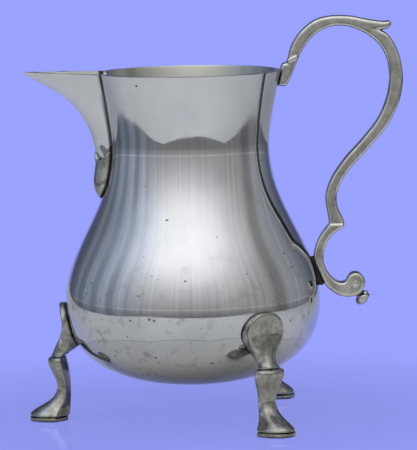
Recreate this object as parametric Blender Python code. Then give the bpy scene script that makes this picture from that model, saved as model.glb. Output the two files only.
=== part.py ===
"""A pewter cream jug on three cast legs.

The body is two turned shells that meet in a lapped seam round the belly. A beak spout with a drop
under it, a double-scroll handle and three legs are cast and then soldered on. Metres, +Z up. The jug
stands on z = 0, with its spout towards -X and its handle towards +X.
"""

import math

import bmesh
import bpy
import numpy as np

# Body, as radii from the jug's axis and heights above the table
RIM_RADIUS = 0.0286
RIM_HEIGHT = 0.1074
RIM_LEAN = math.radians(17)
NECK_RADIUS = 0.02445
NECK_HEIGHT = 0.0851
BELLY_RADIUS = 0.0393
BELLY_HEIGHT = 0.0366
BASE_HEIGHT = 0.0112
WALL = 0.0016
SEAM_LAP = 0.0022
# How far each curve of the body's outline runs on straight before it turns
RIM_RUN = 0.0041
NECK_RUN_ABOVE = 0.0039
NECK_RUN_BELOW = 0.0209
BELLY_RUN_ABOVE = 0.0174
BELLY_RUN_BELOW = 0.0157
BASE_RUN = 0.0279

# Solder gap between any two pieces, and how deep a casting is modelled into its seat before it is cut
SOLDER_GAP = 0.0003
BITE = 0.0015

# Spout, a beak of bent sheet, and the drop that sheathes its tail
SPOUT_REACH = 0.0514
SPOUT_LIFT = 0.0006
SPOUT_RIM_WIDTH = 0.0206
SPOUT_FOOT_WIDTH = 0.0090
SPOUT_TAIL_WIDTH = 0.0064
SPOUT_WALL = 0.0012
# 1 is a straight-sided V and 0 a round trough, at the tip and at the tail
TIP_KEENNESS = 0.85
TAIL_KEENNESS = 0.15
KEEL_FALL = 0.0266
KEEL_FOOT = 0.0045
TAIL_FALL = 0.0335
TAIL_FOOT = 0.0012
# Where the beak starts to bend, and where it straightens again, as shares of its reach and its fall
BEAK_BEND = (0.62, 0.26)
TAIL_BEND = (1.54, 0.22)
POUR_FALL = 0.0225
SHEATH = 0.0005
DROP_TOP_FALL = 0.0240
DROP_TIP_FALL = 0.0386
DROP_PROUD = 0.0042
DROP_WIDTH = 0.0116
LEAF_DEPTH = 0.0026
# Share of the drop's height at which it is as wide as it gets
DROP_WIDEST = 0.5

# Handle: each reach is from the jug's axis, heights are above the table
HANDLE_REACH = 0.0658
HANDLE_TOP = 0.1238
GRIP_THICKNESS = 0.0042
GRIP_HEIGHT = 0.1052
GRIP_WIDTH = 0.0052
GRIP_END_WIDTH = 0.0047
ARCH_THICKNESS = 0.0032
ARCH_CROWN = 0.0460
TONGUE_LENGTH = 0.0052
TONGUE_THICKNESS = 0.0021
TONGUE_WIDTH = 0.0044
LUG_REACH = 0.0006
LUG_HEIGHT = 0.0026
# Thickness of the lug from its seat up, as shares
LUG_TAPER = (1, 1, 0.9, 0.6)
SPUR_REACH = 0.0624
SPUR_HEIGHT = 0.1210
SPUR_THICKNESS = 0.0016
THUMB_WIDTH = 0.0062
THUMB_THICKNESS = 0.0025
BREAK_REACH = 0.0447
BREAK_HEIGHT = 0.0594
BREAK_THICKNESS = 0.0047
# The instep lies above the break and goes with it
INSTEP_REACH = 0.0431
INSTEP_RISE = 0.0081
INSTEP_HEIGHT = BREAK_HEIGHT + INSTEP_RISE
INSTEP_THICKNESS = 0.0034
# How far the grip runs on straight at its outermost point and at the instep, as shares of its fall
GRIP_RUN = 0.55
INSTEP_RUN = 0.35
SCROLL_THICKNESS = 0.0031
SCROLL_WIDTH = 0.0060
SCROLL_HEIGHT = 0.0490
SCROLL_STANDOFF = 0.0009
SCROLL_FALL = 0.0096
# How far the scroll runs on straight by the belly and at its foot, as shares of its fall
SCROLL_RUN = 0.55
SCROLL_FOOT_RUN = 0.45
BULB_RADIUS = 0.0031
BULB_OUT = 0.0110
BULB_LIFT = 0.0012
BULB_WIDTH = 0.0056
BULB_EDGE = 0.0006
BUD_RADIUS = 0.0020
BUD_LENGTH = 0.0046
BUD_LEAN = math.radians(24)
PAD_HEIGHT = 0.0085
PAD_WIDTH = 0.0048
# 1 is a round bar and 0 a square one
BAR_ROUNDNESS = 0.55

# Legs: the outward distances are from the body's radius at the middle of the shield
NEAR_LEG_ANGLE = math.radians(57)
FAR_LEG_ANGLE = math.radians(54.5)
SOLE_LENGTH = 0.0116
SOLE_WIDTH = 0.0120
SOLE_THICKNESS = 0.0010
SOLE_GROOVE = 0.0004
FOOT_OUT = 0.0070
ANKLE_HEIGHT = 0.0098
ANKLE_DEPTH = 0.0037
ANKLE_WIDTH = 0.0058
ANKLE_OUT = 0.0021
CALF_HEIGHT = 0.0172
CALF_DEPTH = 0.0062
CALF_WIDTH = 0.0102
CALF_OUT = 0.0043
LEDGE_HEIGHT = 0.0193
WAIST_HEIGHT = 0.0204
WAIST_DEPTH = 0.0045
WAIST_WIDTH = 0.0060
WAIST_OUT = 0.0030
SHIELD_WIDTH = 0.0152
SHIELD_MIDDLE = 0.0302
SHIELD_TOP = 0.0364
SHIELD_PROUD = 0.0021
# Where a leg is widest, as a share of its depth from the back, and how full its sections are
LEG_WIDEST = 0.3
ROUND = 2
SHIELD_FLATNESS = 4.5

# Facets: steps round the body, points round a casting, and the finest steps of an outline
TURN_STEPS = 48
NECK_STEPS = 18
BOWL_STEPS = 15
LAP_STEPS = 2
BEAK_STEPS = 8
DROP_STEPS = 11
BAR_POINTS = 12
LEG_POINTS = 18
RING_POINTS = 16
OUTLINE_STEPS = 60
SHARP_EDGE = math.radians(40)
MERGE = 1e-6
# A rounded end stops short of a point, at this share of its size squared
BLUNT = 0.01

# Looks, as linear colour and roughness: turned and polished, bent sheet, and left as cast
TURNED = ((0.55, 0.55, 0.56), 0.12)
SHEET = ((0.55, 0.55, 0.56), 0.15)
CAST = ((0.47, 0.47, 0.46), 0.25)

# The middle of the jug's length lies on the origin, so the axis of the body stands off it
AXIS_X = (SPOUT_REACH - HANDLE_REACH) / 2


def clear_scene():
    for obj in list(bpy.data.objects):
        bpy.data.objects.remove(obj, do_unlink=True)


def pewter(name, colour, roughness):
    """Tin alloy: neutral grey, bright where it is turned and duller where it is left as cast."""
    material = bpy.data.materials.new(name)
    material.use_nodes = True
    shader = material.node_tree.nodes["Principled BSDF"]
    shader.inputs["Base Color"].default_value = (*colour, 1.0)
    shader.inputs["Metallic"].default_value = 1.0
    shader.inputs["Roughness"].default_value = roughness
    return material


def bezier(start, after_start, before_end, end, steps=OUTLINE_STEPS):
    t = np.linspace(0, 1, steps + 1)[:, None]
    weights = ((1 - t) ** 3, 3 * (1 - t) ** 2 * t, 3 * (1 - t) * t**2, t**3)
    corners = (start, after_start, before_end, end)
    return sum(weight * np.array(corner) for weight, corner in zip(weights, corners))


def chain(*curves):
    """Curves that follow each other, with each shared point kept once."""
    return np.vstack([curves[0], *(curve[1:] for curve in curves[1:])])


def ease(value, low, high):
    """0 below low, 1 above high, and a smooth rise between them."""
    share = np.clip((value - low) / (high - low), 0, 1)
    return share * share * (3 - 2 * share)


def mixed(first, second, share):
    return first + (second - first) * share


def body_outline():
    """Outside of the body as (radius, height), from the rim down to the middle of the base."""
    rim = np.array((RIM_RADIUS, RIM_HEIGHT))
    lean = np.array((math.sin(RIM_LEAN), math.cos(RIM_LEAN)))
    neck = np.array((NECK_RADIUS, NECK_HEIGHT))
    belly = np.array((BELLY_RADIUS, BELLY_HEIGHT))
    base = np.array((0, BASE_HEIGHT))
    up = np.array((0, 1))
    return chain(
        bezier(rim, rim - RIM_RUN * lean, neck + NECK_RUN_ABOVE * up, neck),
        bezier(neck, neck - NECK_RUN_BELOW * up, belly + BELLY_RUN_ABOVE * up, belly),
        bezier(belly, belly - BELLY_RUN_BELOW * up, base + (BASE_RUN, 0), base),
    )


def moved_in(outline, depth):
    """The outline moved square to itself, towards the inside of the jug."""
    along = np.gradient(outline, axis=0)
    along /= np.linalg.norm(along, axis=1, keepdims=True)
    inner = outline + depth * np.column_stack((along[:, 1], -along[:, 0]))
    inner[-1, 0] = 0
    return inner


def stretch(outline, top, bottom, steps):
    """Part of a falling outline between two heights, in even steps along it."""
    run = np.append(0, np.cumsum(np.linalg.norm(np.diff(outline, axis=0), axis=1)))
    ends = np.interp((-top, -bottom), -outline[:, 1], run)
    at = np.linspace(*ends, steps + 1)
    return np.column_stack([np.interp(at, run, column) for column in outline.T])


def body_radius(height):
    return np.interp(-height, -OUTSIDE[:, 1], OUTSIDE[:, 0])


OUTSIDE = body_outline()
SEAT_RADIUS = body_radius(SHIELD_MIDDLE)


def finish(bm, name):
    bmesh.ops.remove_doubles(bm, verts=bm.verts, dist=MERGE)
    bmesh.ops.recalc_face_normals(bm, faces=bm.faces)
    mesh = bpy.data.meshes.new(name)
    bm.to_mesh(mesh)
    bm.free()
    mesh.shade_smooth()
    mesh.set_sharp_from_angle(angle=SHARP_EDGE)
    obj = bpy.data.objects.new(name, mesh)
    bpy.context.collection.objects.link(obj)
    obj.parent = jug_axis
    return obj


def turned(name, outline):
    """A closed outline of (radius, height) points, spun round the jug's axis."""
    bm = bmesh.new()
    points = [bm.verts.new((radius, 0, height)) for radius, height in outline]
    pairs = zip(points, points[1:] + points[:1])
    edges = [bm.edges.new(pair) for pair in pairs if pair[0].co.x + pair[1].co.x > 0]
    bmesh.ops.spin(
        bm,
        geom=points + edges,
        axis=(0, 0, 1),
        cent=(0, 0, 0),
        angle=math.tau,
        steps=TURN_STEPS,
        use_merge=True,
    )
    return finish(bm, name)


def lofted(name, rings):
    """Closed rings of equally many points, skinned one to the next and capped at both ends."""
    bm = bmesh.new()
    loops = [[bm.verts.new(point) for point in ring] for ring in rings]
    for lower, upper in zip(loops, loops[1:]):
        for i in range(len(lower)):
            bm.faces.new((lower[i - 1], lower[i], upper[i], upper[i - 1]))
    bm.faces.new(loops[0])
    bm.faces.new(loops[-1])
    return finish(bm, name)


def guide(obj):
    """A shape that only cuts or joins another."""
    obj.hide_render = True
    obj.display_type = "WIRE"
    return obj


def combine(piece, other, operation):
    boolean = piece.modifiers.new(other.name, "BOOLEAN")
    boolean.operation = operation
    boolean.solver = "EXACT"
    boolean.object = other


def dress(piece, colour, roughness):
    piece.data.materials.append(pewter(piece.name, colour, roughness))


def body_neck():
    """Upper shell: rim, neck and shoulder, with a spigot at the belly that enters the bowl."""
    seam = BELLY_HEIGHT + SOLDER_GAP / 2
    foot = BELLY_HEIGHT - SEAM_LAP
    inside = moved_in(OUTSIDE, WALL)
    spigot = moved_in(OUTSIDE, (WALL + SOLDER_GAP) / 2)
    outline = (
        stretch(OUTSIDE, RIM_HEIGHT, seam, NECK_STEPS),
        stretch(spigot, seam, foot, LAP_STEPS),
        stretch(inside, RIM_HEIGHT, foot, NECK_STEPS)[::-1],
    )
    inner_rim = (RIM_RADIUS - WALL / math.cos(RIM_LEAN), RIM_HEIGHT)
    return turned("body_neck", np.vstack((*outline[:2], outline[2][:-1], inner_rim)))


def body_bowl():
    """Lower shell: the bowl, rebated inside its edge for the upper shell's spigot."""
    seam = BELLY_HEIGHT - SOLDER_GAP / 2
    foot = BELLY_HEIGHT - SEAM_LAP - SOLDER_GAP
    inside = moved_in(OUTSIDE, WALL)
    rebate = moved_in(OUTSIDE, (WALL - SOLDER_GAP) / 2)
    outline = (
        stretch(OUTSIDE, seam, BASE_HEIGHT, BOWL_STEPS),
        stretch(inside, foot, BASE_HEIGHT + WALL, BOWL_STEPS)[::-1],
        stretch(rebate, seam, foot, LAP_STEPS)[::-1],
    )
    return turned("body_bowl", np.vstack(outline))


def body_envelope():
    """The body grown by the solder gap: whatever is soldered on is cut by this to seat on it."""
    grown = moved_in(OUTSIDE, -SOLDER_GAP)
    grown[0, 1] = RIM_HEIGHT + SOLDER_GAP
    below = grown[-1, 1]
    outline = stretch(grown, grown[0, 1], below, NECK_STEPS + BOWL_STEPS)
    return guide(turned("body_envelope", np.vstack((outline, (0, grown[0, 1])))))


def beak_section(reach, half, root, inside, keenness):
    """Level section of the spout, symmetric about its keel and closed by a chord at inside."""
    turn = np.linspace(-1, 1, 2 * BEAK_STEPS + 1)
    bent = np.column_stack((np.cos(turn * math.pi / 2), np.sin(turn * math.pi / 2)))
    straight = np.column_stack((1 - np.abs(turn), turn))
    shape = mixed(bent, straight, keenness)
    side = np.column_stack((root + (reach - root) * shape[:, 0], half * shape[:, 1]))
    return np.vstack(((inside, -half), side, (inside, half)))


def keel_line():
    """The spout's lower edge as (stand-out from the neck, fall below the rim), from the tip down."""
    tip = (SPOUT_REACH - RIM_RADIUS, 0)
    foot = (KEEL_FOOT, KEEL_FALL)
    bend = (BEAK_BEND[0] * tip[0], BEAK_BEND[1] * KEEL_FALL)
    straight = (TAIL_BEND[0] * foot[0], TAIL_BEND[1] * KEEL_FALL)
    beak = bezier(tip, bend, straight, foot, 12)
    return chain(beak, np.array((foot, (TAIL_FOOT, TAIL_FALL))))


def spout_half_width(fall):
    above = np.clip(1 - fall / KEEL_FALL, 0, 1)
    below = np.clip((fall - KEEL_FALL) / (TAIL_FALL - KEEL_FALL), 0, 1)
    foot = mixed(SPOUT_FOOT_WIDTH, SPOUT_TAIL_WIDTH, below)
    return mixed(foot, SPOUT_RIM_WIDTH, above**1.6) / 2


def spout_ring(out, fall, inset, inside):
    """One section of the spout, inset from its outer face, reaching inside the neck by inside."""
    radius = body_radius(RIM_HEIGHT - fall)
    half = spout_half_width(fall)
    root = math.sqrt(radius**2 - half**2)
    reach = radius + out
    lean = math.atan2(half, reach - root)
    keenness = mixed(TIP_KEENNESS, TAIL_KEENNESS, ease(fall, 0, KEEL_FALL))
    section = beak_section(
        reach - inset / math.sin(lean), half - inset / math.cos(lean), root, root - inside, keenness
    )
    lift = SPOUT_LIFT * np.clip((section[:, 0] - root) / (SPOUT_REACH - root), 0, 1)
    return np.column_stack((-section[:, 0], section[:, 1], RIM_HEIGHT - fall + lift))


def spout(envelope, channel):
    """Sheet pewter bent into a beak, open on top and into the neck."""
    rings = [spout_ring(out, fall, 0, BITE) for out, fall in keel_line()]
    piece = lofted("spout", rings)
    combine(piece, channel, "DIFFERENCE")
    combine(piece, envelope, "DIFFERENCE")
    return piece


def pour_channel():
    """The space inside the spout, run through the wall of the neck and out above the rim."""
    inside = WALL + 3 * BITE
    line = keel_line()
    open_part = line[line[:, 1] < POUR_FALL]
    rings = [spout_ring(out, fall, SPOUT_WALL, inside) for out, fall in open_part]
    above = rings[0] + (0, 0, 2 * BITE)
    return guide(lofted("pour_channel", [above, *rings]))


def spout_envelope():
    rings = [spout_ring(out, fall, -SOLDER_GAP, BITE) for out, fall in keel_line()]
    return guide(lofted("spout_envelope", rings))


def spout_drop(envelope, tail):
    """Cast drop that sheathes the tail of the spout, with a leaf edge above and a rounded tip below."""
    line = keel_line()
    top_half = spout_half_width(DROP_TOP_FALL) + SHEATH
    rings = []
    for share in np.sin(np.linspace(0, 1, DROP_STEPS + 1) * math.pi / 2):
        fall = mixed(DROP_TOP_FALL, DROP_TIP_FALL, share)
        radius = body_radius(RIM_HEIGHT - fall)
        round_off = math.sqrt(max(1 - share**4, BLUNT))
        sheath = np.interp(fall, line[:, 1], line[:, 0]) + SHEATH
        proud = max(sheath * (1 - share**2), DROP_PROUD * round_off)
        half = mixed(top_half, DROP_WIDTH / 2, ease(share, 0, DROP_WIDEST)) * round_off
        root = math.sqrt(radius**2 - half**2)
        section = beak_section(radius + proud, half, root, root - BITE, 0)
        dip = LEAF_DEPTH * max(1 - 2 * share, 0) * leaf_edge()
        rings.append(np.column_stack((-section[:, 0], section[:, 1], RIM_HEIGHT - fall - dip)))
    middle = (rings[0].min(axis=0) + rings[0].max(axis=0)) / 2
    lid = mixed(rings[0], middle, (0.5, 0.5, 0))
    piece = lofted("spout_drop", [lid, *rings])
    combine(piece, tail, "DIFFERENCE")
    combine(piece, envelope, "DIFFERENCE")
    return piece


def leaf_edge():
    """0 at the tip of each leaf, on the keel and on both flanks, and 1 in the dips between them."""
    turn = np.linspace(-1, 1, 2 * BEAK_STEPS + 1)
    dips = (1 - np.cos(2 * turn * math.pi)) / 2
    return np.concatenate(((0,), dips, (0,)))


def swept(name, path, sizes):
    """A bar of (thickness, width) sizes bent in the jug's middle plane, flat-sided with eased edges."""
    along = np.gradient(path, axis=0)
    along /= np.linalg.norm(along, axis=1, keepdims=True)
    across = np.column_stack((-along[:, 1], along[:, 0]))
    turn = (np.arange(BAR_POINTS) + 0.5) * math.tau / BAR_POINTS
    corner = np.column_stack((np.cos(turn), np.sin(turn)))
    square = np.sign(corner) * np.abs(corner) ** BAR_ROUNDNESS
    rings = []
    for point, side, (thick, wide) in zip(path, across, sizes):
        flat = point + side * (square[:, :1] * thick / 2)
        rings.append(np.column_stack((flat[:, 0], square[:, 1] * wide / 2, flat[:, 1])))
    return lofted(name, rings)


def taper(steps, *stations):
    """Sizes along a bar, eased from each (share of its length, thickness, width) station to the next."""
    shares = np.linspace(0, 1, steps)[:, None]
    sizes = np.tile(stations[0][1:], (steps, 1))
    for (start, *before), (end, *after) in zip(stations, stations[1:]):
        change = np.subtract(after, before) * ease(shares, start, end)
        sizes = sizes + change
    return sizes


def handle(envelope):
    """One casting: an arch with a flying thumb spur, an S-shaped grip, and a scroll soldered to the belly."""
    rim = np.array((RIM_RADIUS, RIM_HEIGHT))
    tongue_height = RIM_HEIGHT - TONGUE_LENGTH
    tongue_foot = np.array((body_radius(tongue_height) + TONGUE_THICKNESS / 2, tongue_height))
    crown = np.array((ARCH_CROWN, HANDLE_TOP - ARCH_THICKNESS / 2))
    spur = np.array((SPUR_REACH, SPUR_HEIGHT))
    rise = crown[1] - RIM_HEIGHT
    shoulder = rim + (TONGUE_THICKNESS / 2 + LUG_REACH, 0)
    arch = chain(
        mixed(tongue_foot, shoulder, np.linspace(0, 1, 4)[:, None]),
        bezier(shoulder, shoulder + (0.2 * rise, 0.62 * rise), crown - (0.7 * rise, 0), crown, 9),
        bezier(crown, crown + (0.5 * rise, 0), spur - (0.42 * rise, 0.14 * rise), spur, 7),
    )
    sizes = taper(
        len(arch),
        (0, TONGUE_THICKNESS, TONGUE_WIDTH),
        (0.3, ARCH_THICKNESS, GRIP_WIDTH),
        (0.85, THUMB_THICKNESS, THUMB_WIDTH),
        (1, SPUR_THICKNESS, GRIP_END_WIDTH),
    )
    piece = swept("handle", arch, sizes)
    for part in (rim_lug(), grip(crown, spur), scroll(), bulb(), bud(), belly_pad()):
        combine(piece, guide(part), "UNION")
    combine(piece, envelope, "DIFFERENCE")
    return piece


def rim_lug():
    """Thickening over the rim: it rests on the edge while the tongue lies against the neck."""
    middle = RIM_RADIUS + TONGUE_THICKNESS / 2
    rises = (-SOLDER_GAP, 0.25 * LUG_HEIGHT, 0.75 * LUG_HEIGHT, LUG_HEIGHT)
    path = np.array([(middle + 0.3 * rise, RIM_HEIGHT + rise) for rise in rises])
    thick = TONGUE_THICKNESS + 2 * LUG_REACH
    return swept("rim_lug", path, [(thick * share, GRIP_END_WIDTH) for share in LUG_TAPER])


def grip(crown, spur):
    """The part that is held: it springs from under the thumb spur and ends in the spur of the break."""
    outer = np.array((HANDLE_REACH - GRIP_THICKNESS / 2, GRIP_HEIGHT))
    instep = np.array((INSTEP_REACH, INSTEP_HEIGHT))
    root = mixed(crown, spur, 0.5) - (0, 0.4 * ARCH_THICKNESS)
    toe = np.array((BREAK_REACH, BREAK_HEIGHT))
    drop = outer[1] - instep[1]
    fall = root[1] - outer[1]
    tread = instep[1] - toe[1]
    path = chain(
        bezier(root, root + (0.45 * fall, -0.1 * fall), outer + (0, 0.5 * fall), outer, 9),
        bezier(outer, outer - (0, GRIP_RUN * drop), instep + (0, INSTEP_RUN * drop), instep, 14),
        bezier(instep, instep - (0, 0.4 * tread), toe + (0, 0.3 * tread), toe, 4),
    )
    sizes = taper(
        len(path),
        (0, SPUR_THICKNESS, GRIP_END_WIDTH),
        (0.33, GRIP_THICKNESS, GRIP_WIDTH),
        (0.86, INSTEP_THICKNESS, GRIP_WIDTH),
        (1, BREAK_THICKNESS, GRIP_END_WIDTH),
    )
    return swept("handle_grip", path, sizes)


def scroll_middle():
    """Middle of the scroll's bar where it comes nearest to the belly."""
    return body_radius(SCROLL_HEIGHT) + SCROLL_STANDOFF + SCROLL_THICKNESS / 2


def bulb_centre():
    return np.array((scroll_middle() + BULB_OUT, SCROLL_HEIGHT - SCROLL_FALL + BULB_LIFT))


def scroll():
    """C-shaped lower scroll from the break, past the belly, to the bulb."""
    near = np.array((scroll_middle(), SCROLL_HEIGHT))
    head = np.array((BREAK_REACH + BREAK_THICKNESS / 4, BREAK_HEIGHT))
    foot = bulb_centre() - (0.3 * BULB_OUT, 0.5 * BULB_RADIUS)
    climb = head[1] - near[1]
    fall = near[1] - foot[1]
    path = chain(
        bezier(head, head - (0.4 * climb, 0.25 * climb), near + (0, 0.5 * climb), near, 7),
        bezier(near, near - (0, SCROLL_RUN * fall), foot - (SCROLL_FOOT_RUN * fall, 0), foot, 7),
        np.array((foot, bulb_centre() - (0.3 * BULB_RADIUS, 0.35 * BULB_RADIUS))),
    )
    return swept("handle_scroll", path, [(SCROLL_THICKNESS, SCROLL_WIDTH)] * len(path))


def bulb():
    """The rolled end of the scroll, a disc with eased edges."""
    turn = np.linspace(0, math.tau, RING_POINTS, endpoint=False)
    centre = bulb_centre()
    rings = []
    for y, radius in (
        (-BULB_WIDTH / 2, BULB_RADIUS - BULB_EDGE),
        (BULB_EDGE - BULB_WIDTH / 2, BULB_RADIUS),
        (BULB_WIDTH / 2 - BULB_EDGE, BULB_RADIUS),
        (BULB_WIDTH / 2, BULB_RADIUS - BULB_EDGE),
    ):
        ring = (centre[0] + radius * np.cos(turn), np.full(RING_POINTS, y), centre[1] + radius * np.sin(turn))
        rings.append(np.column_stack(ring))
    return lofted("handle_bulb", rings)


def bud():
    """Small bud that hangs from the bulb, away from the body."""
    along = np.array((math.sin(BUD_LEAN), 0, -math.cos(BUD_LEAN)))
    across = np.array((math.cos(BUD_LEAN), 0, math.sin(BUD_LEAN)))
    turn = np.linspace(0, math.tau, BAR_POINTS, endpoint=False)[:, None]
    start = np.array((bulb_centre()[0], 0, bulb_centre()[1])) + along * (BULB_RADIUS - BULB_EDGE)
    rings = []
    for share, size in ((0, 0.5), (0.2, 0.5), (0.4, 0.9), (0.6, 1), (0.8, 0.8), (0.95, 0.45), (1, 0.15)):
        radius = BUD_RADIUS * size
        centre = start + along * share * BUD_LENGTH
        rings.append(centre + radius * (np.cos(turn) * across + np.sin(turn) * np.array((0, 1, 0))))
    return lofted("handle_bud", rings)


def belly_pad():
    """Web between the scroll and the belly, cut to the belly's curve."""
    middle = SCROLL_HEIGHT - 0.3 * PAD_HEIGHT
    path = np.array(((scroll_middle() - BITE - SCROLL_THICKNESS, middle), (scroll_middle(), middle)))
    return swept("handle_pad", path, [(PAD_HEIGHT, PAD_WIDTH)] * 2)


def leg_ring(height, back, front, half, widest, power):
    """Level section of a leg: a rounded front and a flatter back, widest at a share of its depth."""
    turn = np.linspace(0, math.tau, LEG_POINTS, endpoint=False)
    cosine = np.cos(turn)
    bulge = np.sign(cosine) * np.abs(cosine) ** (2 / power)
    spread = np.sign(np.sin(turn)) * np.abs(np.sin(turn)) ** (2 / power)
    middle = mixed(back, front, widest)
    depth = np.where(cosine > 0, front - middle, middle - back)
    return np.column_stack((middle + depth * bulge, half * spread, np.full(LEG_POINTS, height)))


def foot_rings():
    """Flat sole with a groove above it, and the instep up to the ankle."""
    heel = SEAT_RADIUS + FOOT_OUT - SOLE_LENGTH / 2
    toe = SEAT_RADIUS + FOOT_OUT + SOLE_LENGTH / 2
    half = SOLE_WIDTH / 2
    rings = [leg_ring(height, heel, toe, half, 0.5, ROUND) for height in (0, SOLE_THICKNESS)]
    for height in (SOLE_THICKNESS + SOLE_GROOVE / 2, SOLE_THICKNESS + SOLE_GROOVE):
        rings.append(leg_ring(height, heel + SOLE_GROOVE, toe - SOLE_GROOVE, half - SOLE_GROOVE, 0.5, ROUND))
    start = SOLE_THICKNESS + 1.5 * SOLE_GROOVE
    ankle = SEAT_RADIUS + ANKLE_OUT
    for share in np.linspace(0, 1, 7):
        left = (1 - share) ** 2
        rings.append(
            leg_ring(
                mixed(start, ANKLE_HEIGHT, share),
                mixed(ankle - ANKLE_DEPTH / 2, heel, left),
                mixed(ankle + ANKLE_DEPTH / 2, toe, left),
                mixed(ANKLE_WIDTH / 2, half, left),
                mixed(LEG_WIDEST, 0.5, left),
                ROUND,
            )
        )
    return rings


def calf_rings():
    """The swelling above the ankle, which ends in a ledge round the waist."""
    rings = []
    for height in np.append(np.linspace(ANKLE_HEIGHT, CALF_HEIGHT, 6)[1:], LEDGE_HEIGHT):
        share = ease(height, ANKLE_HEIGHT, CALF_HEIGHT) - 0.25 * ease(height, CALF_HEIGHT, LEDGE_HEIGHT)
        middle = SEAT_RADIUS + mixed(ANKLE_OUT, CALF_OUT, share)
        depth = mixed(ANKLE_DEPTH, CALF_DEPTH, share)
        half = mixed(ANKLE_WIDTH, CALF_WIDTH, share) / 2
        rings.append(leg_ring(height, middle - depth / 2, middle + depth / 2, half, LEG_WIDEST, ROUND))
    return rings


def shield_rings():
    """From the waist up into the rounded shield that lies on the body."""
    waist = SEAT_RADIUS + WAIST_OUT
    shield_half = SHIELD_WIDTH / 2
    leaves_body = mixed(WAIST_HEIGHT, SHIELD_MIDDLE, 0.35)
    plate_starts = mixed(WAIST_HEIGHT, SHIELD_MIDDLE, 0.85)
    rise = np.linspace(0, 1, 5)[:-1]
    top = np.sin(np.linspace(0, 1, 7)[:-1] * math.pi / 2)
    heights = np.append(mixed(WAIST_HEIGHT, SHIELD_MIDDLE, rise), mixed(SHIELD_MIDDLE, SHIELD_TOP, top))
    rings = []
    for height in (mixed(LEDGE_HEIGHT, WAIST_HEIGHT, 0.3), *heights, SHIELD_TOP):
        body = body_radius(height)
        flat = ease(height, WAIST_HEIGHT, plate_starts)
        seated = ease(height, WAIST_HEIGHT, leaves_body)
        above = max(height - SHIELD_MIDDLE, 0) / (SHIELD_TOP - SHIELD_MIDDLE)
        crest = math.sqrt(max(1 - above**2, BLUNT))
        half = mixed(WAIST_WIDTH / 2, shield_half, ease(height, WAIST_HEIGHT, SHIELD_MIDDLE)) * crest
        front = mixed(waist + WAIST_DEPTH / 2, body + SHIELD_PROUD * crest**0.4, flat)
        back = mixed(waist - WAIST_DEPTH / 2, body - 2 * BITE, seated)
        widest = mixed(LEG_WIDEST, (body - BITE / 2 - back) / (front - back), seated)
        rings.append(leg_ring(height, back, front, half, widest, mixed(ROUND, SHIELD_FLATNESS, seated)))
    return rings


def leg(name, mesh, angle, envelope):
    """One cast leg, turned about the jug's axis to its place and seated on the body."""
    piece = bpy.data.objects.new(name, mesh)
    bpy.context.collection.objects.link(piece)
    piece.parent = jug_axis
    piece.rotation_euler.z = angle
    combine(piece, envelope, "DIFFERENCE")
    return piece


clear_scene()
jug_axis = bpy.data.objects.new("jug_axis", None)
jug_axis.location.x = AXIS_X
bpy.context.collection.objects.link(jug_axis)

body = body_envelope()
channel = pour_channel()
neck = body_neck()
combine(neck, channel, "DIFFERENCE")
dress(neck, *TURNED)
dress(body_bowl(), *TURNED)
dress(spout(body, channel), *SHEET)
dress(spout_drop(body, spout_envelope()), *CAST)
dress(handle(body), *CAST)

leg_pattern = guide(lofted("leg_pattern", foot_rings() + calf_rings() + shield_rings()))
dress(leg_pattern, *CAST)
for leg_name, leg_angle in (
    ("leg_spout", math.pi),
    ("leg_near", -NEAR_LEG_ANGLE),
    ("leg_far", FAR_LEG_ANGLE),
):
    leg(leg_name, leg_pattern.data, leg_angle, body)
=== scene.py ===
import math

import bmesh
import bpy
from mathutils import Matrix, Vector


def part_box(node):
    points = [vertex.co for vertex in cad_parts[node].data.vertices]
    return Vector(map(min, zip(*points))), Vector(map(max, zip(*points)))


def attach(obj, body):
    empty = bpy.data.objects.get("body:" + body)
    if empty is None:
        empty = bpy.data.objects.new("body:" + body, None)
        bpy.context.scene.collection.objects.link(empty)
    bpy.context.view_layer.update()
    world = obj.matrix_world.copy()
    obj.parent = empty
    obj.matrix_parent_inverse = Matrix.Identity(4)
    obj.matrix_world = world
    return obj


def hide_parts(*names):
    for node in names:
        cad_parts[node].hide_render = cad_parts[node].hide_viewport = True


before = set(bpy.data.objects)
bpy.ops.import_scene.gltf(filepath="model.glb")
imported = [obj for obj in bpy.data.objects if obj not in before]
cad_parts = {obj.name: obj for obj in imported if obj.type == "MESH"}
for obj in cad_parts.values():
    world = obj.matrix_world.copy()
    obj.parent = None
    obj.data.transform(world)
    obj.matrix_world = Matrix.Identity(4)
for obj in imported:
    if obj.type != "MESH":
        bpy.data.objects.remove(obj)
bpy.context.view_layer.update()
bpy.ops.object.select_all(action="DESELECT")

# Camera
# It stands about 1.1 m in front of the jug with a long lens, a little above it, and leans by one
# degree. It looks along +Y, with the spout on the left and the handle on the right.
MM = 0.001
bowl_low, bowl_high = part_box("body_bowl")
JUG_AXIS = (bowl_low.x + bowl_high.x) / 2  # x of the upright axis that the body was turned on
PIXELS_PER_MM = 3.245
PICTURE_HEIGHT = 450
CAMERA_BACK, CAMERA_HEIGHT, CAMERA_SHIFT = 1120 * MM, 181.35 * MM, 5.27 * MM
CAMERA_LEAN = math.radians(-1.1)
AIM_HEIGHT = 59.74 * MM
camera_reach = math.hypot(CAMERA_BACK, CAMERA_HEIGHT - AIM_HEIGHT)
camera_dip = math.atan2(CAMERA_HEIGHT - AIM_HEIGHT, CAMERA_BACK)
bpy.ops.object.camera_add()
camera = bpy.context.object
camera.name = "camera"
camera.matrix_world = (
    Matrix.Translation((JUG_AXIS + CAMERA_SHIFT, -CAMERA_BACK, CAMERA_HEIGHT))
    @ Matrix.Rotation(math.pi / 2 - camera_dip, 4, "X")
    @ Matrix.Rotation(CAMERA_LEAN, 4, "Z")
)
camera.data.lens = PIXELS_PER_MM / MM * camera_reach / PICTURE_HEIGHT * camera.data.sensor_width
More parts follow.
